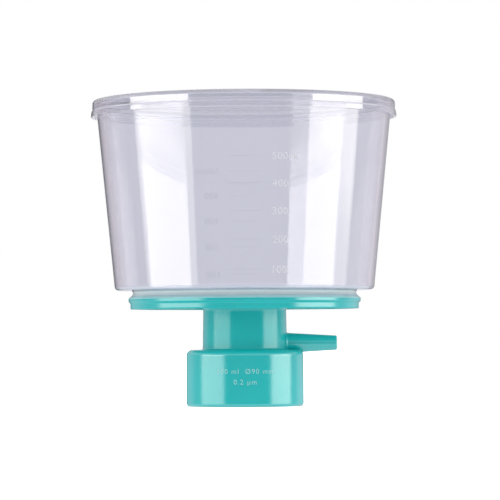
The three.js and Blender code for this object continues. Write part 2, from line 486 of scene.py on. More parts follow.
@dataclass(frozen=True)
class WeldZone:
    """The foot of the cup, where welding onto the teal base left the clear plastic hazy, with painted light in
    its colour.

    The clearness, the share of light that goes through, and the colour both follow the level. The colour is
    painted
    light: a teal glow, deepest low down, that stands in for light from the teal base coming up through the
    foot, with darker bands at 44.95 mm and from 47.1 to 47.6 mm. The ring that stands on the base is nearly
    opaque, the floor over it half clear, and the wall soon quite clear. Up to the ring's top the plastic is
    rougher by the haze, which ends over the fade.
    """

    top: float = 47.15
    fade: float = 0.2
    haze: float = 0.12
    clearness: tuple[tuple[float, float], ...] = (
        (43.0, 0.1),
        (46.7, 0.1),
        (46.95, 0.6),
        (47.6, 0.6),
        (48.0, 0.5),
        (48.4, 0.7),
        (49.0, 1.0),
    )
    # Painted light: a teal glow for light from the teal base below, with darker bands at 44.95 mm and 47.1 to
    # 47.6 mm.
    painted_glow_tints: tuple[tuple[float, Colour], ...] = (
        (44.0, (0.42, 0.92, 0.95)),
        (44.5, (0.66, 1.0, 1.0)),
        (44.8, (0.66, 0.98, 1.0)),
        (44.95, (0.48, 0.78, 0.84)),
        (45.2, (0.90, 1.0, 1.0)),
        (46.6, (0.86, 1.0, 1.0)),
        (47.1, (0.68, 0.84, 0.92)),
        (47.6, (0.72, 0.82, 0.93)),
        (48.0, (0.82, 0.90, 1.0)),
        (48.6, (0.88, 0.92, 0.98)),
        (49.4, (0.92, 0.92, 0.945)),
    )


@dataclass(frozen=True)
class ClearPlastic:
    """Polished clear polystyrene: faint flow waviness, fine scuffs, a tint that deepens with thickness."""

    name: str
    clarity: Colour = (0.92, 0.92, 0.945)
    tint: Colour = (0.60, 0.61, 0.68)
    density: float = 8.0
    ior: float = 1.57
    smoothest: float = 0.015
    roughest: float = 0.05
    scuffs: Pattern = Pattern(900, 4, 0.0006, (1, 1, 0.25))
    flow: Pattern = Pattern(45, 1, 0.02, (1, 1, 0.4))
    weld: WeldZone | None = None

    def material(self) -> bpy.types.Material:
        """Returns the material."""
        bench = NodeBench(bpy.data.materials.new(self.name))
        scuffs, flow = bench.noise(self.scuffs), bench.noise(self.flow)
        bench.set(Base_Color=self.clarity, IOR=self.ior, Transmission_Weight=1.0)
        bench.set(Normal=bench.bump((flow, self.flow.depth), (scuffs, self.scuffs.depth)))
        roughness = bench.ranged(scuffs, self.smoothest, self.roughest)
        if self.weld:
            zone = self.weld
            level = bench.parts()[2]
            haze = bench.spread(level, zone.top * MM, (zone.top + zone.fade) * MM, zone.haze, 0.0)
            roughness = bench.worked("ADD", roughness, haze)
            clearness = bench.by_level([(level, (share,) * 3) for level, share in zone.clearness])
            # The colour by level is painted light: a teal glow from the base below, and darker bands.
            bench.set(Transmission_Weight=clearness, Base_Color=bench.by_level(zone.painted_glow_tints))
        bench.set(Roughness=roughness)
        volume = bench.add("VolumeAbsorption", "Volume", Color=self.tint, Density=self.density)
        bench.plug(bench.tree.nodes["Material Output"].inputs["Volume"], volume)
        return bench.owner


@dataclass(frozen=True)
class TealPlastic:
    """Teal moulding: slight mottling in its colour, a soft orange peel and fine handling marks."""

    name: str
    dark: Colour = (0.005, 0.565, 0.560)
    pale: Colour = (0.008, 0.597, 0.590)
    ior: float = 1.66
    gloss: float = 0.98
    smoothest: float = 0.16
    roughest: float = 0.24
    mottle: Pattern = Pattern(70)
    marks: Pattern = Pattern(1500, 4, 0.0008, (1, 1, 0.3))
    peel: Pattern = Pattern(400, 2, 0.006)

    def material(self) -> bpy.types.Material:
        """Returns the material."""
        bench = NodeBench(bpy.data.materials.new(self.name))
        marks, peel = bench.noise(self.marks), bench.noise(self.peel)
        bench.set(
            Base_Color=bench.tinted(bench.noise(self.mottle), self.dark, self.pale),
            IOR=self.ior,
            Specular_IOR_Level=self.gloss,
            Roughness=bench.ranged(marks, self.smoothest, self.roughest),
            Normal=bench.bump((peel, self.peel.depth), (marks, self.marks.depth)),
        )
        return bench.owner


@dataclass(frozen=True)
class PorousFilm:
    """The matt white membrane: fine pores as bump, and the teal seat's ribs showing faintly through it."""

    name: str
    over_rib: Colour = (0.66, 0.84, 0.84)
    between: Colour = (0.84, 0.90, 0.90)
    rib_core: float = 0.45
    rib_edge: float = 0.9
    cloudiness: float = 0.06
    smoothest: float = 0.7
    roughest: float = 0.9
    cloud: Pattern = Pattern(60, 4)
    pores: Pattern = Pattern(6000, depth=0.02)

    def material(self) -> bpy.types.Material:
        """Returns the material."""
        bench = NodeBench(bpy.data.materials.new(self.name))
        cloud = bench.ranged(bench.noise(self.cloud), -self.cloudiness, self.cloudiness)
        shade = bench.worked("ADD", bench.spokes(RIB_COUNT, self.rib_core, self.rib_edge), cloud)
        pores = bench.noise(self.pores)
        bench.set(
            Base_Color=bench.tinted(shade, self.over_rib, self.between),
            Roughness=bench.ranged(pores, self.smoothest, self.roughest),
            Normal=bench.bump((pores, self.pores.depth)),
        )
        return bench.owner


@dataclass(frozen=True)
class Silicone:
    """The soft off-white gasket: a satin skin with a fine tooled grain."""

    name: str
    dark: Colour = (0.74, 0.73, 0.68)
    pale: Colour = (0.82, 0.81, 0.77)
    softness: float = 0.1
    smoothest: float = 0.45
    roughest: float = 0.62
    cloud: Pattern = Pattern(120)
    grain: Pattern = Pattern(2500, depth=0.01)

    def material(self) -> bpy.types.Material:
        """Returns the material."""
        bench = NodeBench(bpy.data.materials.new(self.name))
        grain = bench.noise(self.grain)
        bench.set(
            Base_Color=bench.tinted(bench.noise(self.cloud), self.dark, self.pale),
            Subsurface_Weight=self.softness,
            Roughness=bench.ranged(grain, self.smoothest, self.roughest),
            Normal=bench.bump((grain, self.grain.depth)),
        )
        return bench.owner


@dataclass(frozen=True)
class FrostedRelief:
    """Raised marks in the cup's own plastic, from a white satin face to one nearly as clear as the wall."""

    name: str
    clearness: float
    roughest: float
    dark: Colour = (0.88, 0.88, 0.92)
    pale: Colour = (0.97, 0.97, 1.0)
    ior: float = 1.45
    grain: Pattern = Pattern(2200, depth=0.006)

    def material(self) -> bpy.types.Material:
        """Returns the material."""
        bench = NodeBench(bpy.data.materials.new(self.name))
        grain = bench.noise(self.grain)
        bench.set(
            Base_Color=bench.tinted(grain, self.dark, self.pale),
            IOR=self.ior,
            Transmission_Weight=self.clearness,
            Roughness=bench.ranged(grain, self.roughest / 2, self.roughest),
            Normal=bench.bump((grain, self.grain.depth)),
        )
        return bench.owner


@dataclass(frozen=True)
class Ink:
    """Printed pale teal ink, a little patchy where the pad left less of it."""

    name: str
    dark: Colour = (0.36, 0.70, 0.69)
    pale: Colour = (0.50, 0.80, 0.79)
    smoothest: float = 0.45
    roughest: float = 0.65
    patches: Pattern = Pattern(1800, depth=0.004)

    def material(self) -> bpy.types.Material:
        """Returns the material."""
        bench = NodeBench(bpy.data.materials.new(self.name))
        patches = bench.noise(self.patches)
        bench.set(
            Base_Color=bench.tinted(patches, self.dark, self.pale),
            Roughness=bench.ranged(patches, self.smoothest, self.roughest),
            Normal=bench.bump((patches, self.patches.depth)),
        )
        return bench.owner


# ---------------------------------------------------------------------------------------------- pieces


def finished(
    piece: bpy.types.Object, material: bpy.types.Material, body: Body, slot: str
) -> bpy.types.Object:
    """Gives a piece its material and its body, reports it and returns it."""
    piece.data.materials.clear()
    piece.data.materials.append(material)
    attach(piece, body.value)
    log.info("%s: %d faces on %s", piece.name, len(piece.data.polygons), body.value)
    return piece


@dataclass
class Lid:
    """The push-on lid: a flat plate with a rounded edge, and a skirt that steps and flares to its rim."""

    plate: float = 1.4
    skirt_wall: float = 0.9
    flare: float = 0.2
    step: float = 0.4
    step_height: float = 0.4
    step_depth: float = 3.3
    rim_height: float = 0.5
    edge_rounding: float = 1.6
    gate_radius: float = 2.6
    gate_depth: float = 0.35
    frame_box: NodeBox = boxed("lid")

    def outline(self) -> np.ndarray:
        """Returns the lid's outline, from the pole under its plate round the skirt to the pole on top."""
        box = self.frame_box
        under = box.top - self.plate
        step_level = under - self.step_depth
        rim = box.radius
        skirt = rim - self.flare - self.step
        inside = skirt - self.skirt_wall
        return rounded_outline(
            [
                Corner(0, under),
                Corner(inside, under, 0.35),
                Corner(inside, step_level, 0.4),
                Corner(inside + self.flare, box.bottom, 0.12),
                Corner(rim, box.bottom, 0.2),
                Corner(rim, box.bottom + self.rim_height, 0.2),
                Corner(skirt + self.step, step_level, 0.3),
                Corner(skirt, step_level + self.step_height, 0.3),
                Corner(skirt, box.top, self.edge_rounding),
                Corner(self.gate_radius + self.gate_depth, box.top, 0.15),
                Corner(self.gate_radius, box.top - self.gate_depth, 0.15),
                Corner(0, box.top - self.gate_depth),
            ],
            closed=False,
        )

    def build(self, plastic: ClearPlastic) -> bpy.types.Object:
        """Builds and dresses the lid in place of its CAD node."""
        piece = turned(self.outline(), closed=False).to_object("lid_shell")
        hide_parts("lid")
        return finished(piece, plastic.material(), Body.LID, "clear_lid")


@dataclass
class Cup:
    """The clear cup: lip and neck ring, a floor with a round opening, the tapered wall and the rim's bead."""

    wall: float = 1.8
    floor: float = 0.8
    bead: float = 0.4
    bead_height: float = 1.7
    height: float = 76.5
    spread: float = 7.5
    lip_reach: float = 2.6
    lip_tip: float = 0.2
    groove_margin: float = 0.65
    groove_rise: float = 0.9
    weld: float = 0.03
    press: float = 0.02
    ring_margin: float = 1.2
    corner_rounding: float = 1.8
    inner_rounding: float = 0.9
    frame_box: NodeBox = boxed("cup")
    membrane_box: NodeBox = boxed("membrane")

    @property
    def top_radius(self) -> float:
        """The outer wall's radius at the rim."""
        return self.frame_box.radius - self.bead

    @property
    def underside(self) -> float:
        """The level of the floor's underside."""
        return self.frame_box.top - self.height

    def wall_radius(self, level: np.ndarray | float) -> np.ndarray | float:
        """Returns the outer wall's radius at a level."""
        return self.top_radius - self.spread * (self.frame_box.top - level) / self.height

    def outline(self) -> np.ndarray:
        """Returns the cup's closed outline, anticlockwise from the clamp ring's inner edge."""
        box, disc = self.frame_box, self.membrane_box
        clamp = disc.top - self.press
        weld_floor = disc.bottom - self.weld
        lip_bottom = box.bottom - self.weld
        rim = box.top - SEAM_GAP
        opening = disc.radius - CLAMP_WIDTH
        ring = disc.radius + self.ring_margin
        groove = disc.radius + self.groove_margin
        clear_of_disc = disc.radius + SEAM_GAP
        lip_inside = disc.radius + SEAT_MARGIN - self.weld
        lip_outside = disc.radius + self.lip_reach
        bead_bottom = rim - self.bead_height
        floor_level = self.underside + self.floor
        return rounded_outline(
            [
                Corner(opening, clamp, 0.15),
                Corner(clear_of_disc, clamp, 0.05),
                Corner(clear_of_disc, weld_floor, 0.05),
                Corner(lip_inside, weld_floor, 0.1),
                Corner(lip_inside, lip_bottom, 0.12),
                Corner(lip_outside, lip_bottom, 0.03),
                Corner(lip_outside, box.bottom + self.lip_tip, 0.1),
                Corner(ring, disc.top, 0.4),
                Corner(groove, disc.top + self.groove_rise, 0.5),
                Corner(ring, self.underside, 0.25),
                Corner(self.wall_radius(self.underside), self.underside, self.corner_rounding),
                Corner(self.wall_radius(bead_bottom), bead_bottom, 0.12),
                Corner(box.radius, bead_bottom, 0.25),
                Corner(box.radius, rim, 0.3),
                Corner(self.top_radius - self.wall, rim, 0.35),
                Corner(self.wall_radius(floor_level) - self.wall, floor_level, self.inner_rounding),
                Corner(opening, floor_level, 0.35),
            ],
            closed=True,
        )

    def build(self, plastic: ClearPlastic) -> bpy.types.Object:
        """Builds and dresses the cup in place of its CAD node."""
        piece = turned(self.outline(), closed=True).to_object("cup_shell")
        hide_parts("cup")
        return finished(piece, plastic.material(), Body.UNIT, "clear_cup")


@dataclass
class Membrane:
    """The filter disc that the cup clamps down onto the base's seat."""

    frame_box: NodeBox = boxed("membrane")

    def build(self, film: PorousFilm) -> bpy.types.Object:
        """Builds and dresses the disc in place of its CAD node."""
        box = self.frame_box
        outline = rounded_outline(
            [
                Corner(0, box.bottom),
                Corner(box.radius, box.bottom, 0.1),
                Corner(box.radius, box.top, 0.1),
                Corner(0, box.top),
            ],
            closed=False,
        )
        piece = turned(outline, closed=False).to_object("membrane_disc")
        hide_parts("membrane")
        return finished(piece, film.material(), Body.UNIT, "membrane")


@dataclass
class Gasket:
    """The ring in the collar that seals on the bottle's lip, with a shallow groove in its face."""

    width: float = 5.9
    groove_width: float = 1.6
    groove_depth: float = 0.4
    frame_box: NodeBox = boxed("bottle_gasket")

    def build(self, silicone: Silicone) -> bpy.types.Object:
        """Builds and dresses the ring in place of its CAD node."""
        box = self.frame_box
        inside = box.radius - self.width
        middle = box.radius - self.width / 2
        groove_floor = box.bottom + self.groove_depth
        outline = rounded_outline(
            [
                Corner(inside, box.bottom, 0.3),
                Corner(middle - self.groove_width / 2, box.bottom, 0.15),
                Corner(middle - self.groove_width / 4, groove_floor, 0.15),
                Corner(middle + self.groove_width / 4, groove_floor, 0.15),
                Corner(middle + self.groove_width / 2, box.bottom, 0.15),
                Corner(box.radius, box.bottom, 0.3),
                Corner(box.radius, box.top - SEAM_GAP, 0.3),
                Corner(inside, box.top - SEAM_GAP, 0.3),
            ],
            closed=True,
        )
        piece = turned(outline, closed=True, segments=160).to_object("gasket_ring")
        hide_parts("bottle_gasket")
        return finished(piece, silicone.material(), Body.UNIT, "gasket")


@dataclass
class Base:
    """The teal moulding: flange and membrane seat, neck and spout, side arm, and the threaded collar."""

    collar_height: float = 23.0
    collar_wall: float = 1.7
    collar_top_rounding: float = 2.2
    collar_mouth_rounding: float = 1.3
    shoulder: float = 2.4
    thread_root: float = 22.3
    thread_depth: float = 1.2
    thread_pitch: float = 4.0
    thread_root_width: float = 2.4
    thread_crest_width: float = 0.9
    thread_lead_in: float = 3.0
    thread_top: float = 13.9
    thread_fade: float = 0.12
    thread_stations: int = 96
    spigot_radius: float = 14.6
    spigot_wall: float = 1.8
    spigot_drop: float = 5.6
    neck_radius: float = 17.25
    neck_taper: float = 0.3
    neck_wall: float = 2.2
    neck_fillet: float = 0.8
    neck_top_fillet: float = 2.2
    outlet_radius: float = 2.5
    spout_root_wall: float = 2.0
    spout_tip_wall: float = 1.2
    spout_length: float = 21.5
    arm_rise: float = 2.7
    arm_reach: float = 20.45
    arm_root_radius: float = 4.15
    arm_tip_radius: float = 2.95
    arm_bore_radius: float = 1.7
    arm_fillet: float = 0.9
    arm_sink: float = 0.35
    arm_tip_rounding: float = 0.5
    plate: float = 3.0
    rim_edge: float = 1.1
    rim_undercut: float = 0.8
    rim_reach: float = 0.8
    seat_height: float = 1.1
    skirt_drop: float = 1.2
    skirt_wall: float = 1.6
    dish_at_rim: float = 1.8
    dish_at_outlet: float = 2.8
    rib_width: float = 1.0
    rib_clear: float = 5.0
    frame_box: NodeBox = boxed("base")
    membrane_box: NodeBox = boxed("membrane")

    @property
    def collar_radius(self) -> float:
        """The collar's outer radius."""
        return self.thread_root + self.collar_wall

    def turned_body(self) -> Surface:
        """Returns the collar, neck, spout and flange as one turned solid."""
        box = self.frame_box
        seat = self.membrane_box.radius + SEAT_MARGIN
        clamp = self.membrane_box.radius - CLAMP_WIDTH
        shelf = box.top - self.seat_height
        plate_under = shelf - self.plate
        skirt_bottom = plate_under - self.skirt_drop
        skirt_outside = box.radius - self.rim_reach
        skirt_inside = skirt_outside - self.skirt_wall
        rim_under = shelf - self.rim_edge
        neck_top = self.neck_radius - self.neck_taper
        chamber = neck_top - self.neck_wall
        shoulder_level = self.collar_height - self.shoulder
        spigot_bottom = shoulder_level - self.spigot_drop
        spigot_inside = self.spigot_radius - self.spigot_wall
        spout_tip = plate_under - self.spout_length
        corners = [
            Corner(self.thread_root, box.bottom, 0.15),
            Corner(self.collar_radius, box.bottom, self.collar_mouth_rounding),
            Corner(self.collar_radius, self.collar_height, self.collar_top_rounding),
            Corner(self.neck_radius, self.collar_height, self.neck_fillet),
            Corner(neck_top, plate_under, self.neck_top_fillet),
            Corner(skirt_inside, plate_under, 0.3),
            Corner(skirt_inside, skirt_bottom, 0.25),
            Corner(skirt_outside, skirt_bottom, 0.45),
            Corner(skirt_outside, rim_under - self.rim_undercut, 0.6),
            Corner(box.radius, rim_under, 0.3),
            Corner(box.radius, shelf, 0.15),
            Corner(seat, shelf, 0.02),
            Corner(seat, box.top - SEAM_GAP, 0.02),
            Corner(clamp, box.top - SEAM_GAP, 0.2),
            Corner(clamp, box.top - self.dish_at_rim, 0.4),
            Corner(self.outlet_radius, box.top - self.dish_at_outlet, 0.5),
            Corner(self.outlet_radius, spout_tip, 0.2),
            Corner(self.outlet_radius + self.spout_tip_wall, spout_tip, 0.3),
            Corner(self.outlet_radius + self.spout_root_wall, plate_under, 0.6),
            Corner(chamber, plate_under, 0.6),
            Corner(chamber, self.collar_height, 0.3),
            Corner(spigot_inside, self.collar_height, 0.3),
            Corner(spigot_inside, spigot_bottom, 0.3),
            Corner(self.spigot_radius, spigot_bottom, 0.4),
            Corner(self.spigot_radius, shoulder_level, 0.3),
            Corner(self.thread_root, shoulder_level, 0.4),
        ]
        return turned(rounded_outline(corners, closed=True), closed=True)

    def ribs(self) -> list[Surface]:
        """Returns the drainage ribs that hold the membrane up off the dish."""
        inside = self.outlet_radius + self.rib_clear
        length = self.membrane_box.radius - CLAMP_WIDTH + SEAT_MARGIN - inside
        height = self.dish_at_outlet + self.plate / 4
        rib = bar(length, self.rib_width, height)
        top = self.frame_box.top - SEAM_GAP
        step = FULL_TURN / RIB_COUNT
        return [
            rib.moved(Matrix.Rotation((number + 0.5) * step, 4, "Z") @ Matrix.Translation((inside, 0, top)))
            for number in range(RIB_COUNT)
        ]

    def along_arm(self) -> Matrix:
        """Returns the motion that lays a piece turned about +Z along the side arm's axis."""
        axis = Matrix.Translation((0, 0, self.collar_height + self.arm_rise))
        return axis @ Matrix.Rotation(math.pi / 2, 4, "Y")

    def arm(self) -> Surface:
        """Returns the side arm: a taper with a round fillet at its root."""
        root = self.neck_radius - self.neck_wall / 2
        tip = self.neck_radius + self.arm_reach
        flare = self.arm_root_radius + self.arm_fillet
        outline = rounded_outline(
            [
                Corner(0, root),
                Corner(flare, root, 0.05),
                Corner(flare, self.neck_radius - self.arm_sink, 0.05),
                Corner(self.arm_root_radius, self.neck_radius, self.arm_fillet),
                Corner(self.arm_tip_radius, tip, self.arm_tip_rounding),
                Corner(0, tip),
            ],
            closed=False,
            steps=8,
        )
        return turned(outline, closed=False, segments=72).moved(self.along_arm())

    def arm_bore(self) -> Surface:
        """Returns the arm's bore, from inside the neck's chamber to past its tip."""
        inside = self.neck_radius - 2 * self.neck_wall
        outside = self.neck_radius + self.arm_reach + self.neck_wall
        outline = np.array(
            [
                [0, inside],
                [self.arm_bore_radius, inside],
                [self.arm_bore_radius, outside],
                [0, outside],
            ]
        )
        return turned(outline, closed=False, segments=48).moved(self.along_arm())

    def thread(self) -> Surface:
        """Returns the right-hand thread, a ridge that sinks into the wall at its ends.

        At turn t the section stands at the angle 2 pi t and the height lead-in + pitch * t, and its crest
        reaches inwards by the thread's depth times a smooth step of the distance to the nearer end.
        """
        embed = self.collar_wall / 3
        turns = (self.thread_top - self.thread_lead_in) / self.thread_pitch
        turn = np.linspace(0, turns, round(turns * self.thread_stations))[:, None]
        fade = np.clip(np.minimum(turn, turns - turn) / self.thread_fade, 0, 1)
        fade = fade * fade * (3 - 2 * fade)
        crest = -embed / 2 + (self.thread_depth + embed / 2) * fade
        root = np.full_like(crest, -embed)
        inwards = np.concatenate([root, crest, crest, root], axis=1)
        root_edge, crest_edge = self.thread_root_width / 2, self.thread_crest_width / 2
        upwards = np.array([-root_edge, -crest_edge, crest_edge, root_edge])
        height = self.thread_lead_in + turn * self.thread_pitch + upwards
        return swept(round_axis(self.thread_root - inwards, turn * FULL_TURN, height))

    def shaded_faces(self, piece: bpy.types.Object) -> np.ndarray:
        """Tells which faces get a copy of the teal with a weaker reflection, painted shade on the neck under
        the flange and on the rim's downward faces.

        The neck's faces stand inside the collar's radius, between the collar and the plate, and short of the
        side arm. The rim's undercut and the skirt's foot are told by their level and their radius.

        Returns:
            0 for a polished face, 1 for one on the neck and 2 for one in the undercut or under the skirt.
        """
        hair, slack, arm_margin = 0.05, 0.1, 0.3
        faces = piece.data.polygons
        centre = np.empty(len(faces) * 3)
        faces.foreach_get("center", centre)
        across, ahead, level = centre.reshape(-1, 3).T / MM
        radius = np.hypot(across, ahead)
        box = self.frame_box
        rim_under = box.top - self.seat_height - self.rim_edge
        plate_under = box.top - self.seat_height - self.plate
        foot = plate_under - self.skirt_drop / 2 - slack
        on_neck = (level > self.collar_height - hair) & (level < plate_under) & (radius < self.collar_radius)
        on_neck &= across < self.neck_radius + arm_margin
        undercut = (level > rim_under - self.rim_undercut - slack) & (level < rim_under)
        shaded_under = (undercut | (level < foot)) & (radius > box.radius - self.rim_reach - self.skirt_wall)
        return np.select([on_neck, shaded_under], [1, 2], 0)

    def build(self, polished: TealPlastic, satin: TealPlastic, shaded_under: TealPlastic) -> bpy.types.Object:
        """Builds and dresses the base in place of its CAD node, with painted shade: weaker reflections on the
        neck, in the undercut and under the skirt.
        """
        ribs = self.ribs()
        added = [ribs[0].joined(ribs[1:]), self.arm(), self.thread()]
        piece = merged_solid(self.turned_body(), added, [self.arm_bore()], "base_moulding")
        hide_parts("base")
        finished(piece, polished.material(), Body.UNIT, "teal_base")
        # Its weaker reflection paints shade on the neck under the flange.
        piece.data.materials.append(satin.material())
        # Its still weaker reflection paints shade in the undercut and under the skirt.
        piece.data.materials.append(shaded_under.material())
        piece.data.polygons.foreach_set("material_index", self.shaded_faces(piece).astype(np.int32))
        return piece


# ---------------------------------------------------------------------------------------------- print


class Side(Enum):
    """The two opposite places on the cup that carry a scale, as the azimuth of each scale's middle."""

    FRONT = -math.pi / 2
    BACK = math.pi / 2


def lettering(text: str, height: float, thickness: float, spacing: float) -> Surface:
    """Makes flat letters as a thin solid, their strokes a little thinner than the font's own.

    Args:
        text: The characters.
        height: The height of a capital.
        thickness: How far the print stands up.
        spacing: Letter spacing, 1 for the font's own.

    Returns:
        The letters in the XY plane, starting at x = 0 and centred on y = 0.
    """
    capital_share = 0.73
    thinning = 0.01
    curve = bpy.data.curves.new("lettering", "FONT")
    curve.body = text
    curve.size = height / capital_share
    curve.space_character = spacing
    curve.extrude = thickness / 2
    curve.resolution_u = 4
    curve.offset = -thinning * height
    holder = placed("lettering", curve)
    evaluated = holder.evaluated_get(bpy.context.evaluated_depsgraph_get())
    mesh = bpy.data.meshes.new_from_object(evaluated)
    flat = np.empty(len(mesh.vertices) * 3)
    mesh.vertices.foreach_get("co", flat)
    points = flat.reshape(-1, 3)
    points[:, 0] -= points[:, 0].min()
    points[:, 1] -= height / 2
    faces = [list(polygon.vertices) for polygon in mesh.polygons]
    bpy.data.objects.remove(holder)
    bpy.data.meshes.remove(mesh)
    return Surface(points, faces)


def stroke(length: float, width: float, thickness: float, stations: int = 13) -> Surface:
    """Returns a printed line along +X as a thin solid, in short lengths so that it can follow a curve."""
    along = np.linspace(0, length, stations)
    across, up = width / 2, thickness / 2
    ring = np.array([[0, -across, -up], [0, across, -up], [0, across, up], [0, -across, up]])
    return swept(ring[None] + along[:, None, None] * np.array([1.0, 0, 0]))


def shifted(surface: Surface, across: float, up: float) -> Surface:
    """Returns a flat surface moved in its own plane."""
    return Surface(surface.points + np.array([across, up, 0.0]), surface.faces)


def wrapped(flat: Surface, side: Side, wall: np.ndarray | float, lift: float = 0.0) -> Surface:
    """Wraps flat marks round the Z axis.

    A mark at (x, y) goes to the level y and the azimuth side + x / wall, at the wall's radius and further out
    by its own thickness and the lift.

    Args:
        flat: Marks in the XY plane.
        side: The azimuth of x = 0.
        wall: The wall's radius, one for all points or one for each.
        lift: How far out the marks are moved.

    Returns:
        The wrapped marks.
    """
    across, level, out = flat.points.T
    return Surface(round_axis(wall + out + lift, side.value + across / wall, level), flat.faces)


@dataclass
class Scale:
    """One printed scale on the cup: a long line and a number for each 100 ml."""

    cup: Cup
    levels: tuple[tuple[str, float], ...] = (
        ("500ml", 99.4),
        ("400", 88.7),
        ("300", 77.9),
        ("200", 66.7),
        ("100", 54.9),
    )
    capital: float = 3.0
    spacing: float = 1.1
    line_start: float = -5.7
    line_length: float = 12.4
    line_width: float = 0.2
    number_start: float = 11.2
    thickness: float = 0.12
    line_thickness: float = 0.06

    def flat_lines(self) -> list[Surface]:
        """Returns the lines laid out flat: x across the cup, y the level."""
        line = stroke(self.line_length, self.line_width, self.line_thickness)
        return [shifted(line, self.line_start, level) for _, level in self.levels]

    def flat_numbers(self) -> list[Surface]:
        """Returns the numbers laid out flat: x across the cup, y the level."""
        return [
            shifted(lettering(label, self.capital, self.thickness, self.spacing), self.number_start, level)
            for label, level in self.levels
        ]

    def on_wall(self, flat: Surface, side: Side) -> Surface:
        """Wraps flat marks onto the cup's outer wall, just clear of it."""
        _, level, out = flat.points.T
        return wrapped(flat, side, self.cup.wall_radius(level), SEAM_GAP / 4 - out.min())

    def build(self, satin: FrostedRelief, glossy: FrostedRelief) -> None:
        """Builds and dresses the front's numbers in satin, and all the rest in glossy relief."""
        numbers, lines = self.flat_numbers(), self.flat_lines()
        for name, marks, side, relief in (
            ("front_numbers", numbers, Side.FRONT, satin),
            ("back_numbers", numbers, Side.BACK, glossy),
            ("front_lines", lines, Side.FRONT, glossy),
            ("back_lines", lines, Side.BACK, glossy),
        ):
            first, *others = [self.on_wall(mark, side) for mark in marks]
            piece = first.joined(others).to_object(name)
            finished(piece, relief.material(), Body.UNIT, "clear_cup")


@dataclass
class CollarPrint:
    """Two lines of plain sizes printed on the collar's front."""

    base: Base
    lines: tuple[tuple[str, float], ...] = (("500 ml  Ø90 mm", 14.5), ("0.2 µm", 10.2))
    capital: float = 2.1
    spacing: float = 1.2
    thickness: float = 0.03

    def build(self, ink: Ink) -> bpy.types.Object:
        """Builds and dresses the print: each line is centred on the front and wrapped round the collar."""
        marks = []
        for text, level in self.lines:
            flat = lettering(text, self.capital, self.thickness, self.spacing)
            flat = shifted(flat, -flat.points[:, 0].max() / 2, level)
            marks.append(wrapped(flat, Side.FRONT, self.base.collar_radius + self.thickness / 2))
        piece = marks[0].joined(marks[1:]).to_object("collar_print")
        return finished(piece, ink.material(), Body.UNIT, "membrane")


# ---------------------------------------------------------------------------------------------- studio


@dataclass(frozen=True)
class Softbox:
    """A glowing panel on an arc round the unit, which only reflections show.

    Its upright edges stand at azimuths in degrees from the camera's direction, positive to the right. Its
    glow is given by rising levels, each with its share of the greatest brightness.
    """

    name: str
    start: float
    end: float
    glow: tuple[tuple[float, float], ...]
    distance: float = 1750.0
    bottom: float = -700.0
    top: float = 550.0
    columns: int = 9
    brightest: float = 5.0
    warmth: Colour = (1.0, 0.975, 0.92)

    def build(self) -> None:
        """Stands the panel up."""
        angle = np.radians(np.linspace(self.start, self.end, self.columns)) - math.pi / 2
        points = round_axis(self.distance, angle, np.array([[self.bottom], [self.top]])).reshape(-1, 3)
        corners = np.array([0, 1, self.columns + 1, self.columns])
        faces = (np.arange(self.columns - 1)[:, None] + corners).tolist()
        panel = Surface(points, faces).to_object(self.name)
        bench = NodeBench(bpy.data.materials.new(self.name))
        glow = [(level, tuple(share * part for part in self.warmth)) for level, share in self.glow]
        bench.set(
            Base_Color=(0, 0, 0),
            Roughness=1.0,
            Specular_IOR_Level=0.0,
            Emission_Color=bench.by_level(glow),
            Emission_Strength=self.brightest,
            Alpha=bench.spread(bench.add("LightPath", "Glossy Depth"), 0.0, 1.0),
        )
        panel.data.materials.append(bench.owner)
        panel.visible_camera = False
        panel.visible_diffuse = False


@dataclass(frozen=True)
class Floor:
    """A matt white sheet on the level that the unit stands on, which glows from round the collar outwards: its
    glow is faint under the collar and rises over a narrow ring round its foot, a painted contact shadow.
    """

    size: float = 8000.0
    shade: Colour = (0.92, 0.92, 0.92)
    glow_from: float = 23.8
    glow_to: float = 25.5
    painted_shadow_glow: float = 0.15
    strongest: float = 0.95

    def build(self) -> None:
        """Lays the floor, which only the camera sees."""
        half = self.size / 2
        points = np.array([[-half, -half, 0], [half, -half, 0], [half, half, 0], [-half, half, 0]])
        floor = Surface(points, [[0, 1, 2, 3]]).to_object("floor")
        bench = NodeBench(bpy.data.materials.new("floor_white"))
        distance = bench.add("VectorMath", "Value", ("operation", "LENGTH"), Vector=bench.place)
        # The faint glow under and right round the collar is a painted contact shadow.
        glow = bench.spread(distance, self.glow_from * MM, self.glow_to * MM, self.painted_shadow_glow, self.strongest)
        bench.set(Base_Color=self.shade, Roughness=0.9, Emission_Color=(1, 1, 1), Emission_Strength=glow)
        floor.data.materials.append(bench.owner)
        floor.visible_glossy = False
        floor.visible_transmission = False
        floor.visible_diffuse = False


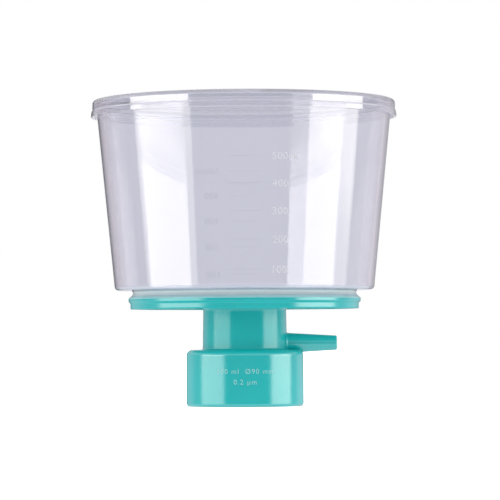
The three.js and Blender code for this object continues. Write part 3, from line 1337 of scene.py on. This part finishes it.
@dataclass(frozen=True)
class Backdrop:
    """The plain pale surroundings.

    The camera sees them white, and clear plastic shows them a shade darker. What a reflection shows follows
    the azimuth, in degrees from straight behind the unit, positive to the right: a pale backdrop right behind
    the unit, grey flags beside it, paler walls that turn grey at the sides, and a dark front. Steeply up or
    down it shows the pale ceiling or floor. Diffuse surfaces get most from the sides and the back, and less
    from the front, from straight behind and from below.

    Each range is that of the direction's upward or backward part over which one colour gives way to another.
    """

    seen_low: Colour = (0.74, 0.745, 0.83)
    seen_through: Colour = (0.79, 0.79, 0.87)
    low_range: tuple[float, float] = (0.0, 0.09)
    below: Colour = (0.85, 0.85, 0.88)
    below_range: tuple[float, float] = (-0.12, -0.3)
    above: Colour = (0.78, 0.78, 0.82)
    above_range: tuple[float, float] = (0.12, 0.3)
    fill_front: Colour = (0.98, 0.98, 1.00)
    fill_back: Colour = (1.42, 1.42, 1.42)
    back_range: tuple[float, float] = (-0.6, 0.2)
    fill_rear: Colour = (0.60, 0.60, 0.62)
    rear_range: tuple[float, float] = (0.5, 0.95)
    fill_below: Colour = (0.55, 0.55, 0.58)
    fill_below_range: tuple[float, float] = (-0.3, -0.9)
    surroundings: tuple[tuple[float, Colour], ...] = (
        (-180, (0.06, 0.06, 0.07)),
        (-140, (0.06, 0.06, 0.07)),
        (-137, (0.34, 0.32, 0.36)),
        (-66, (0.34, 0.32, 0.36)),
        (-54, (0.60, 0.54, 0.60)),
        (-34, (0.60, 0.54, 0.60)),
        (-26, (0.55, 0.52, 0.58)),
        (-14, (0.16, 0.16, 0.18)),
        (-5, (0.16, 0.16, 0.18)),
        (-3, (0.80, 0.80, 0.87)),
        (3, (0.80, 0.80, 0.87)),
        (5, (0.42, 0.41, 0.45)),
        (14, (0.42, 0.41, 0.45)),
        (26, (0.58, 0.55, 0.60)),
        (32, (0.80, 0.75, 0.83)),
        (54, (0.82, 0.77, 0.85)),
        (62, (0.44, 0.41, 0.46)),
        (126, (0.44, 0.41, 0.46)),
        (129, (0.06, 0.06, 0.07)),
        (180, (0.06, 0.06, 0.07)),
    )

    def build(self) -> None:
        """Builds the world that surrounds the unit."""
        bench = NodeBench(bpy.data.worlds.new("backdrop"), "Background", "Generated")
        right, back, up = bench.parts()
        azimuth = bench.worked("ARCTAN2", right, back)
        stops = [(0.5 + degrees / 360, colour) for degrees, colour in self.surroundings]
        mirrored = bench.ramp(bench.spread(azimuth, -math.pi, math.pi), stops)
        mirrored = bench.mixed(bench.spread(up, *self.below_range), mirrored, self.below)
        mirrored = bench.mixed(bench.spread(up, *self.above_range), mirrored, self.above)
        through = bench.mixed(bench.spread(up, *self.low_range), self.seen_low, self.seen_through)
        filled = bench.mixed(bench.spread(back, *self.back_range), self.fill_front, self.fill_back)
        filled = bench.mixed(bench.spread(back, *self.rear_range), filled, self.fill_rear)
        filled = bench.mixed(bench.spread(up, *self.fill_below_range), filled, self.fill_below)
        shown = (1.0, 1.0, 1.0)
        for depth, colour in (
            ("Transmission Depth", through),
            ("Glossy Depth", mirrored),
            ("Diffuse Depth", filled),
        ):
            shown = bench.mixed(bench.spread(bench.add("LightPath", depth), 0.0, 1.0), shown, colour)
        bench.set(Color=shown)
        bpy.context.scene.world = bench.owner


@dataclass
class Studio:
    """Camera, pale floor, pale surroundings and two tall softboxes at the sides."""

    eye_distance: float = 1230.0
    eye_height: float = 29.9
    aim_height: float = 63.9
    aim_right: float = 2.3
    roll: float = math.radians(-0.3)
    lens: float = 215.9
    softboxes: tuple[Softbox, ...] = (
        Softbox("softbox_left", -94, -41.5, ((-110, 0.35), (-40, 0.46), (110, 0.49), (300, 0.86))),
        Softbox("softbox_right", 52.5, 100.5, ((-110, 0.41), (-40, 0.62), (110, 0.62), (300, 0.88))),
    )

    def camera(self) -> None:
        """Places the camera in front of the unit, low down and looking slightly up."""
        data = bpy.data.cameras.new("camera")
        data.lens = self.lens
        data.sensor_width = 36.0
        data.clip_end = 50.0
        camera = placed("camera", data)
        eye = Vector((0, -self.eye_distance, self.eye_height)) * MM
        aim = Vector((self.aim_right, 0, self.aim_height)) * MM - eye
        turn = aim.to_track_quat("-Z", "Y").to_matrix() @ Matrix.Rotation(self.roll, 3, "Z")
        camera.matrix_world = Matrix.Translation(eye) @ turn.to_4x4()
        bpy.context.scene.camera = camera
        log.info("camera at %.0f mm", self.eye_distance)

    def build(self) -> None:
        """Builds the set round the unit, with enough light bounces for its clear walls."""
        Backdrop().build()
        Floor().build()
        for softbox in self.softboxes:
            softbox.build()
        bpy.context.scene.view_settings.view_transform = "Standard"
        cycles = bpy.context.scene.cycles
        cycles.max_bounces = 128
        cycles.transmission_bounces = 48
        cycles.glossy_bounces = 96
        cycles.diffuse_bounces = 6
        log.info("studio ready")


# ---------------------------------------------------------------------------------------------- assembly


def main() -> None:
    """Builds the camera, the studio and every piece in order."""
    logging.basicConfig(level=logging.INFO, format="%(name)s: %(message)s")
    studio = Studio()
    studio.camera()
    studio.build()
    base, cup = Base(), Cup()
    base.build(
        TealPlastic("teal_plastic"),
        # Two copies with weaker reflections, painted shade on the neck and on the rim's underside.
        TealPlastic("teal_plastic_shaded_neck", gloss=0.54),
        TealPlastic("teal_plastic_shaded_under", gloss=0.2),
    )
    Membrane().build(PorousFilm("membrane_film"))
    cup.build(ClearPlastic("clear_cup_plastic", weld=WeldZone()))
    Lid().build(ClearPlastic("clear_lid_plastic"))
    Gasket().build(Silicone("gasket_silicone"))
    satin = FrostedRelief("satin_relief", clearness=0.2, roughest=0.55)
    glossy = FrostedRelief("glossy_relief", clearness=1.0, roughest=0.08)
    Scale(cup).build(satin, glossy)
    CollarPrint(base).build(Ink("collar_ink"))


if __name__ == "__main__":
    main()
